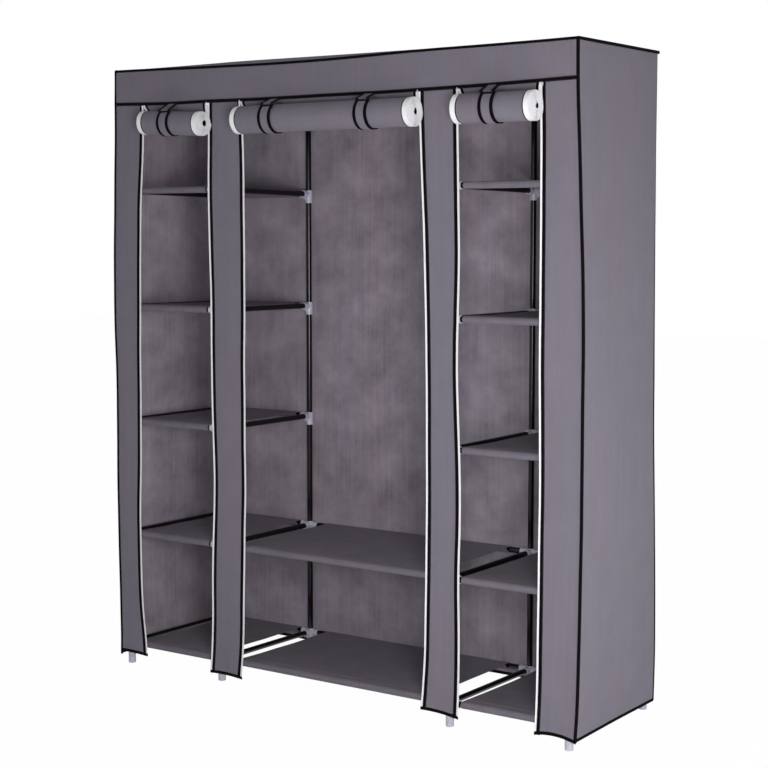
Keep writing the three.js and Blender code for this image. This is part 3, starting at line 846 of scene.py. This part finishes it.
def addValance():
    half = coverSizes["half"]

    def surface(u, v):
        x = -half + 2 * half * u
        z = seamZ(x) + v * (edgeZ(x) - 1 - seamZ(x))
        atLeft, atRight = cornerX(-1, z) + half, cornerX(1, z) - half
        x = x + (u < 0.5) * atLeft * (1 - 2 * u) + (u >= 0.5) * atRight * (2 * u - 1)
        slack = np.sin(math.pi * share01(v)) * (1.2 + 1.4 * ripple(x, z * 0.5, 9, 210))
        return x, coverSizes["front"] - slack - 0.2, z

    x = np.linspace(cornerX(-1, coverSizes["seam"]), cornerX(1, coverSizes["seam"]), 120)
    seamLine = linePath(x, coverSizes["front"] - 2.6, seamZ(x) + 0.7 * ripple(x, 0 * x, 21, 300))
    seam = addBinding("front_seam_binding", [frontBand(seamLine, (0, 0, 1), coverSizes["seamBand"])])
    addSheet("front_valance_cloth", surface, 150, 14, (1500, 92),
             replaces=("front_valance",), number=5)
    stitches = seamLine + [0, -1.0, coverSizes["seamBand"] / 2 - 1.5]
    addStitches("front_seam_stitches", [stitches, stitches - [0, 0, coverSizes["seamBand"] - 3]])


def sideX(side, y, z):
    front, back = coverSizes["front"], coverSizes["back"]
    share = (y - front) / (back - front)
    flare = softLookUp(leftFlare if side < 0 else rightFlare, z) * (1 - share) + softLookUp(backFlare, z) * share
    slack = 4 * share * (1 - share) * (1.2 * ripple(y, z * 0.4, 31 + side, 230) - 1.6)
    # pulled taut, the corners round off over the frame higher up
    atBack, atFront = share01(1 - (back - y) / 16) ** 2, share01(1 - (y - front) / 16) ** 2
    taut = share01((z - 900) / 600) * (atBack + 0.6 * atFront)
    return side * (coverSizes["half"] + flare + slack - 3.3 * taut)


def sideHem(y):
    share = (y - coverSizes["front"]) / (coverSizes["back"] - coverSizes["front"])
    return coverSizes["hem"] - 6 - 4 * share


def addSides():
    front, back = coverSizes["front"], coverSizes["back"]
    for side, name in ((-1, "left"), (1, "right")):

        def surface(u, v):
            share = u if side > 0 else 1 - u
            y = front + (back - front) * share
            high = roofZ(side * coverSizes["half"]) + coverSizes["backRise"] * share - 1
            z = sideHem(y) + v * (high - sideHem(y))
            return sideX(side, y, z), y, z

        y = np.linspace(front + 1, back - 1, 40)
        z = sideHem(y) + coverSizes["hemBand"] / 2
        line = linePath(sideX(side, y, z) - side * coverSizes["thickness"] / 2, y, z)
        binding = addBinding(f"{name}_side_hem_binding", [hemPart(line, (side, 0, 0))])
        addSheet(f"{name}_side_cloth", surface, 40, 110, (450, 1716),
                 replaces=(f"{name}_side_panel",), number=7 + side)


def backY(x, z):
    fade = share01((coverSizes["top"] - z) / 80)
    taut = share01((z - 900) / 600) * share01(1 - (coverSizes["half"] - abs(x)) / 16) ** 2
    return coverSizes["back"] + fade * (1.5 + 1.5 * ripple(x, z * 0.3, 61, 190)) - 3.3 * taut


def addBack():
    half, hem = coverSizes["half"], coverSizes["hem"] - 10

    def surface(u, v):
        z = hem + v * (roofZ(half * (1 - 2 * u)) + 4 - hem)
        left, right = (sideX(side, coverSizes["back"], z) for side in (-1, 1))
        x = right * (1 - u) + left * u
        return x, backY(x, z), z

    x = np.linspace(-half, half, 100)
    z = hem + coverSizes["hemBand"] / 2
    line = linePath(x, backY(x, z) - coverSizes["thickness"] / 2, z)
    binding = addBinding("back_hem_binding", [hemPart(line, (0, 1, 0))])
    addSheet("back_cloth", surface, 120, 110, (1500, 1716),
             replaces=("back_panel",), number=9)


def addRoof():
    half, front, back = coverSizes["half"], coverSizes["front"], coverSizes["back"]

    def surface(u, v):
        share = v ** 1.4
        y = front + (back - front) * share
        x = np.interp(u, (0, 1), (-1, 1)) * half
        top = coverSizes["edgeTop"]
        x = x + np.where(x < 0, cornerX(-1, top) + half, cornerX(1, top) - half) * abs(x) / half * (1 - share)
        edge = share01((y - front) / 14)
        z = roofZ(x) + coverSizes["backRise"] * share - softLookUp(roofSlip, x) * (1 - edge) ** 2
        bays = np.min([abs(x - column) for column in columnX], axis=0)  # it sags between the tubes
        dip = 1
        for away in (y - front - 25, back - 25 - y, bays - 15):
            dip = dip * share01(away / 90)
        return x, y, z - dip * (6 + 4 * ripple(x, y, 71, 260))

    addSheet("roof_cloth", surface, 130, 60, (1500, 450),
             replaces=("roof_panel",), number=10)


def addCoverEdges():
    # folded bindings over the seams between the panels: an angle of two flanges round each edge
    half, front, back = coverSizes["half"], coverSizes["front"], coverSizes["back"]

    def angle(wide, deep, proud=1.1):
        # (across, out): a flange along the front, then one along the side
        return [(-wide, -proud), (0, -proud), (1.1, 0), (1.1, deep), (-1.1, deep), (-1.1, 1.1), (-wide, 1.1)]

    parts = []
    for side in (-1, 1):
        z = np.linspace(coverSizes["hem"] - 7, roofZ(side * half) - 2, 110)
        x = cornerX(side, z)
        parts.append(sweepPart(linePath(x, frontY(x, z), z), (side, 0, 0), (0, 1, 0), angle(4.5, 4, 3.6)))
        path = linePath(sideX(side, back, z), backY(x, z), z)
        parts.append(sweepPart(path, (side, 0, 0), (0, -1, 0), angle(6.5, 6)))
    addBinding("corner_bindings", parts)
    rise, top = coverSizes["backRise"], coverSizes["edgeTop"]
    x = np.linspace(cornerX(-1, top), cornerX(1, top), 130)
    parts = [sweepPart(linePath(x, front - 0.4, edgeZ(x) - 0.3), (0, 0, 1), (0, 1, 0), angle(6, 2, 1.6))]
    x = np.linspace(-half, half, 130)
    parts.append(sweepPart(linePath(x, back + 0.4, roofZ(x) + rise + 0.2), (0, 0, 1), (0, -1, 0), angle(7, 5)))
    share = np.linspace(0, 1, 40)
    for side in (-1, 1):
        x = cornerX(side, top) * (1 - share) + side * half * share
        path = linePath(x + side * 0.4, front + (back - front) * share, roofZ(side * half) + rise * share)
        parts.append(sweepPart(path, (0, 0, 1), (-side, 0, 0), angle(7, 5)))
    addBinding("top_edge_bindings", parts)


addRoof()
addBack()
addSides()
addValance()
for strip in (1, 2, 3, 4):
    addStrip(strip)
addZipTapes()
addCoverEdges()
print("cover built")


# doors, rolled up under the valance; each is one sheet: a short web from the seam, then the roll

doorSizes = {"thickness": 1.0, "length": 1624, "web": 67, "webRows": 44, "forward": 5, "core": 8.2, "perTurn": 36,
             "tapeWidth": 14, "tapeThickness": 0.9, "line": 3, "webTape": 7, "webLine": 8, "hemAndHoleShadeTurns": 1.3,
             "rollHeight": 1590, "travel": 1515, "flat": 0.08, "flatPlace": -195.5, "wander": 1.5, "wanderWave": 45}
# each roll's two ends and how far they sit above its usual height, its seam's two ends, how far its core has sunk
# back, and what it is thicker by
doorPlaces = {
    "left": {"roll": (-612, -396), "rise": (7, -3), "seam": (-652, -409.5), "sunk": 10, "thicker": -0.3,
             "columns": 18, "seed": 3},
    "middle": {"roll": (-265, 309), "rise": (1, 1), "seam": (-293.5, 293.5), "sunk": 6, "thicker": 1.6,
               "columns": 36, "seed": 4},
    "right": {"roll": (436, 656), "rise": (2, 2), "seam": (409.5, 652), "sunk": 11, "thicker": -0.5,
              "columns": 18, "seed": 5}}


def rollShape(name):
    low, high = cadBox(f"{name}_door")
    place = doorPlaces[name]
    radius = doorSizes["rollHeight"] - low[2] + place["thicker"]  # from the CAD roll's lowest point
    length = doorSizes["length"] - doorSizes["web"]
    pitch = math.pi * (radius ** 2 - doorSizes["core"] ** 2) / length
    turns = (radius - doorSizes["core"]) / pitch
    turned = np.linspace(0, turns, int(turns * doorSizes["perTurn"]))
    unevenness = 0.35 * ripple(turned * 100, 0, place["seed"] + 20, 60) * share01(turned)
    spiral = radius - pitch * turned + unevenness
    # the turns lie closer together at the back
    middleY = high[1] - doorSizes["forward"] - radius + place["sunk"] * (1 - spiral / radius)
    wander = doorSizes["wander"] * ripple(turned * 100, 0, place["seed"], doorSizes["wanderWave"])
    return {"radius": radius, "middleY": middleY, "angle": -2 * math.pi * turned, "spiral": spiral,
            "wander": wander, "place": place}


def rollZ(roll, x):
    # the height of the roll's axis, which isn't quite level
    return doorSizes["rollHeight"] + np.interp(x, roll["place"]["roll"], roll["place"]["rise"])


def rollSheet(roll, left, right, columns, lift, thickness):
    # the rolled part of a sheet between two edges, which wander a little from turn to turn
    away = roll["spiral"] + lift
    u = np.linspace(0, 1, columns)[None, :]
    x = (left + roll["wander"])[:, None] * (1 - u) + (right + roll["wander"])[:, None] * u
    y = (roll["middleY"] + away * np.cos(roll["angle"]))[:, None] + 0 * u
    z = rollZ(roll, x) + (away * np.sin(roll["angle"]))[:, None]
    run = np.concatenate([[0], np.cumsum(np.hypot(np.diff(y[:, 0]), np.diff(z[:, 0])))])
    outer = linePath(x, y, z)
    return shellPart(outer, np.stack([x, run[:, None] + 0 * u], axis=-1), thickness)


def webRowShares():
    # rows that spread evenly when the door hangs down
    t = np.linspace(0, 1, 2000)
    hanging = doorSizes["web"] * t + t * t * (3 - 2 * t) * doorSizes["travel"]
    return np.interp(np.linspace(0, hanging[-1], doorSizes["webRows"]), hanging, t)


def webSheet(roll, seamX, rollX, columns, lift, thickness):
    # between the seam and the roll's back; seamX and rollX give its two edges there
    t = webRowShares()[:, None]
    u = np.linspace(0, 1, columns)[None, :]
    behind = roll["middleY"][0] + roll["radius"]
    top = coverSizes["front"] - 0.2
    y = top + (behind - top) * share01(t / 0.2) + lift + 0 * u
    left = seamX[0] + (rollX[0] - seamX[0]) * t
    right = seamX[1] + (rollX[1] - seamX[1]) * t
    x = left * (1 - u) + right * u
    z = seamZ(x) * (1 - t) + rollZ(roll, x) * t
    outer = linePath(x, y, z)
    return shellPart(outer, np.stack([x, z], axis=-1), thickness)


def squashWithDoor(pieces):
    for piece in pieces:
        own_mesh(piece)


def addRoll(name):
    roll, body = rollShape(name), f"{name}_door"
    left, right = roll["place"]["roll"]
    columns, tape, line = roll["place"]["columns"], doorSizes["tapeWidth"], doorSizes["line"]
    parts = [rollSheet(roll, left + tape - 3, right - tape + 3, columns, 0, doorSizes["thickness"])]
    cloth = makePiece(f"{name}_door_roll", parts, coverCloth, body=body, replaces=(body,))
    parts = [rollSheet(roll, left, left + tape, 3, 0.25, doorSizes["tapeThickness"]),
             rollSheet(roll, right - tape, right, 3, 0.25, doorSizes["tapeThickness"])]
    tapes = makePiece(f"{name}_door_roll_tapes", parts, whiteTape, body=body)
    parts = [rollSheet(roll, left + tape - 0.5, left + tape + line, 3, 0.15, 1.3),
             rollSheet(roll, right - tape - line, right - tape + 0.5, 3, 0.15, 1.3)]
    # the hem was rolled first and its black binding sits at the hole; drawn over the innermost 1.3 turns, far more
    # than a hem band covers, it is also painted shade, a dark lining for the shaded hole
    last = int(doorSizes["hemAndHoleShadeTurns"] * doorSizes["perTurn"])
    hem = {**roll, **{key: roll[key][-last:] for key in ("middleY", "angle", "spiral", "wander")}}
    parts.append(rollSheet(hem, left + 1, right - 1, columns, -1.0, 1.2))
    binding = addBinding(f"{name}_door_roll_binding", parts, body)
    away = roll["spiral"] - 0.4
    lines = []
    for x in (left + roll["wander"] - 0.5, right + roll["wander"] + 0.5):
        y = roll["middleY"] + away * np.cos(roll["angle"])
        lines.append(linePath(x, y, rollZ(roll, x) + away * np.sin(roll["angle"])))
    coil = beadsAlong(f"{name}_door_roll_coil", lines, (2.5, 1.9, 2.2), nylonCoil, body)
    squashWithDoor((cloth, tapes, coil, binding))


def addWeb(name):
    roll = rollShape(name)
    (left, right), (seamLeft, seamRight) = roll["place"]["roll"], roll["place"]["seam"]
    tape, slim, line = doorSizes["tapeWidth"], doorSizes["webTape"], doorSizes["webLine"]
    parts = [webSheet(roll, (seamLeft + 4, seamRight - 4), (left + tape - 3, right - tape + 3),
                      roll["place"]["columns"], 0, doorSizes["thickness"])]
    web = makePiece(f"{name}_door_web", parts, coverCloth, None, (f"{name}_door",))
    parts = [webSheet(roll, (seamLeft, seamLeft + slim), (left, left + tape), 3, -0.2, 1.4),
             webSheet(roll, (seamRight - slim, seamRight), (right - tape, right), 3, -0.2, 1.4)]
    tapes = makePiece(f"{name}_door_web_tapes", parts, whiteTape, body=None)
    parts = [webSheet(roll, (seamLeft + slim, seamLeft + slim + line), (left + tape, left + tape + 4), 3, -0.4, 1.9),
             webSheet(roll, (seamRight - slim - line, seamRight - slim), (right - tape - 4, right - tape),
                      3, -0.4, 1.9)]
    binding = addBinding(f"{name}_door_web_binding", parts, None)
    # the web pieces hang from no body; their placement is baked into their meshes
    for piece in (web, tapes, binding):
        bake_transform(piece)


strapSizes = {"width": 43, "thickness": 1.2, "edge": 10, "clear": 1.7, "tabClear": 1.6, "tabShift": -25,
              "endAngle": 228, "tabAngle": 128, "flat": 0.01, "flatPlace": -184.3, "behind": -184.6, "bar": 7}
doorStraps = {"left": ["left_strap"], "middle": ["middle_strap_1", "middle_strap_2"], "right": ["right_strap"]}
strapX = {"left_strap": -514.5, "middle_strap_1": -146, "middle_strap_2": 166, "right_strap": 538.5}


def strapRibbon(path, normals):
    # a grey band and its two black bound edges, along the same path
    half, edge = strapSizes["width"] / 2, strapSizes["edge"]
    band = sweepPart(path, (1, 0, 0), normals, bandSection(strapSizes["width"] - 2, strapSizes["thickness"]))
    section = bandSection(edge, strapSizes["thickness"] + 0.8)
    edges = [sweepPart(path + [side * (half - edge / 2), 0, 0], (1, 0, 0), normals, section) for side in (-1, 1)]
    return band, edges


def addStrap(door, name):
    roll, x = rollShape(door), strapX[name]
    seam = float(seamZ(x))
    radius = roll["radius"] + strapSizes["clear"]
    middle = np.array([roll["middleY"][0], rollZ(roll, x)])

    def ring(degrees, away):
        turn = np.radians(degrees)
        spokes = linePath(np.cos(turn), np.sin(turn))
        return middle + spokes * away, spokes

    def outOf(rows, x):
        return np.column_stack([np.broadcast_to(x, len(rows)), rows])

    behind = linePath(strapSizes["behind"], np.linspace(seam, doorSizes["rollHeight"] + 8, 9))
    under, spokes = ring(np.linspace(-14, -strapSizes["endAngle"], 30), radius)
    path = outOf(np.concatenate([behind, under]), x)
    normals = outOf(np.concatenate([np.tile([1.0, 0.0], (9, 1)), spokes]), 0)
    band, edges = strapRibbon(path, normals)
    # the tab comes down from the seam in front and ends on the roll's upper front
    start = np.array([coverSizes["front"] - 0.4, seam - 1])
    reach = start - middle
    outside = radius + strapSizes["tabClear"]
    touch = math.degrees(math.atan2(reach[1], reach[0]) + math.acos(outside / np.linalg.norm(reach)))
    over, overSpokes = ring(np.linspace(touch, strapSizes["tabAngle"], 9), outside)
    share = np.linspace(0, 1, 9)[:-1, None]
    fall = start + (over[0] - start) * share
    tabPath = np.concatenate([fall, over])
    run = np.linspace(0, 1, len(tabPath))
    tabPath = outOf(tabPath, x + strapSizes["tabShift"] * (1 - run) ** 1.2)
    tabNormals = outOf(np.concatenate([np.repeat(overSpokes[:1], 8, 0), overSpokes]), 0)
    tab, tabEdges = strapRibbon(tabPath, tabNormals)
    half = strapSizes["width"] / 2
    endPath = tabPath[-1] + np.array([[-half, 0, 0], [0, 0, 0], [half, 0, 0]])
    along = unit(tabPath[-1] - tabPath[-2])
    bar = sweepPart(endPath, along, tabNormals[-1], bandSection(strapSizes["bar"], strapSizes["thickness"] + 1.1))
    cloth = makePiece(f"{name}_band", [band, tab], coverCloth, replaces=(name,))
    bound = addBinding(f"{name}_binding", [*edges, *tabEdges, bar])
    squashWithDoor((cloth, bound))


for doorName in ("left", "middle", "right"):
    for strapName in doorStraps[doorName]:
        addStrap(doorName, strapName)
    addRoll(doorName)
    addWeb(doorName)
print("doors and straps built")


# zip sliders: a cast body of two plates round the tape's edge, a bridge and a pull tab

sliderSizes = {"bodyHeight": 11, "topWidth": 9.6, "lowWidth": 7, "pullWidth": 5.2, "pullLength": 19,
               "pullThickness": 0.9}


def addSlider(number):
    node = f"zip_slider_{number}"
    low, high = cadBox(node)
    x, top = (low[0] + high[0]) / 2, high[2]
    frontFace, backFace = low[1], high[1]
    height, wide, slim = sliderSizes["bodyHeight"], sliderSizes["topWidth"] / 2, sliderSizes["lowWidth"] / 2
    outline = [(-slim, -height), (slim, -height), (wide, -height * 0.55), (wide, -1.2), (wide - 1.2, 0), (0.6, 0),
               (0, -1.4), (-0.6, 0), (-wide + 1.2, 0), (-wide, -1.2), (-wide, -height * 0.55)]
    place = (x, 0, top)
    plates = [platePart(outline, frontFace + 0.2, frontFace + 1.5, place),
              platePart(outline, backFace - 1.3, backFace, place)]
    post = [(-0.9, -3.4), (0.9, -3.4), (0.9, -0.8), (-0.9, -0.8)]
    plates.append(platePart(post, frontFace + 1.3, backFace - 1.1, place, 0.1))
    arc = np.linspace(0, math.pi, 9)
    bridge = linePath(x, frontFace + 0.4 - 1.9 * np.sin(arc), top - height / 2 + 3.6 * np.cos(arc))
    plates.append(sweepPart(bridge, (1, 0, 0), linePath(0, -np.sin(arc), np.cos(arc)), bandSection(2.4, 0.9)))
    wideHalf, length = sliderSizes["pullWidth"] / 2, sliderSizes["pullLength"]
    eye = top - height / 2 - 2.2
    pull = [(-wideHalf * 0.55, -length), (wideHalf * 0.55, -length), (wideHalf, -length + 1.8), (wideHalf, -4),
            (wideHalf * 0.6, 0), (-wideHalf * 0.6, 0), (-wideHalf, -4), (-wideHalf, -length + 1.8)]
    plates.append(platePart(pull, frontFace - 1.2, frontFace - 1.2 + sliderSizes["pullThickness"], (x, 0, eye), 0.2))
    rimmed = [(px * 0.55, pz * 0.55 - 5.2) for px, pz in pull]
    plates.append(platePart(rimmed, frontFace - 1.5, frontFace - 1.0, (x, 0, eye), 0.15))
    makePiece(node + "_metal", plates, nickelZinc, node, (node,))


for number in range(1, 7):
    addSlider(number)
print("sliders built")
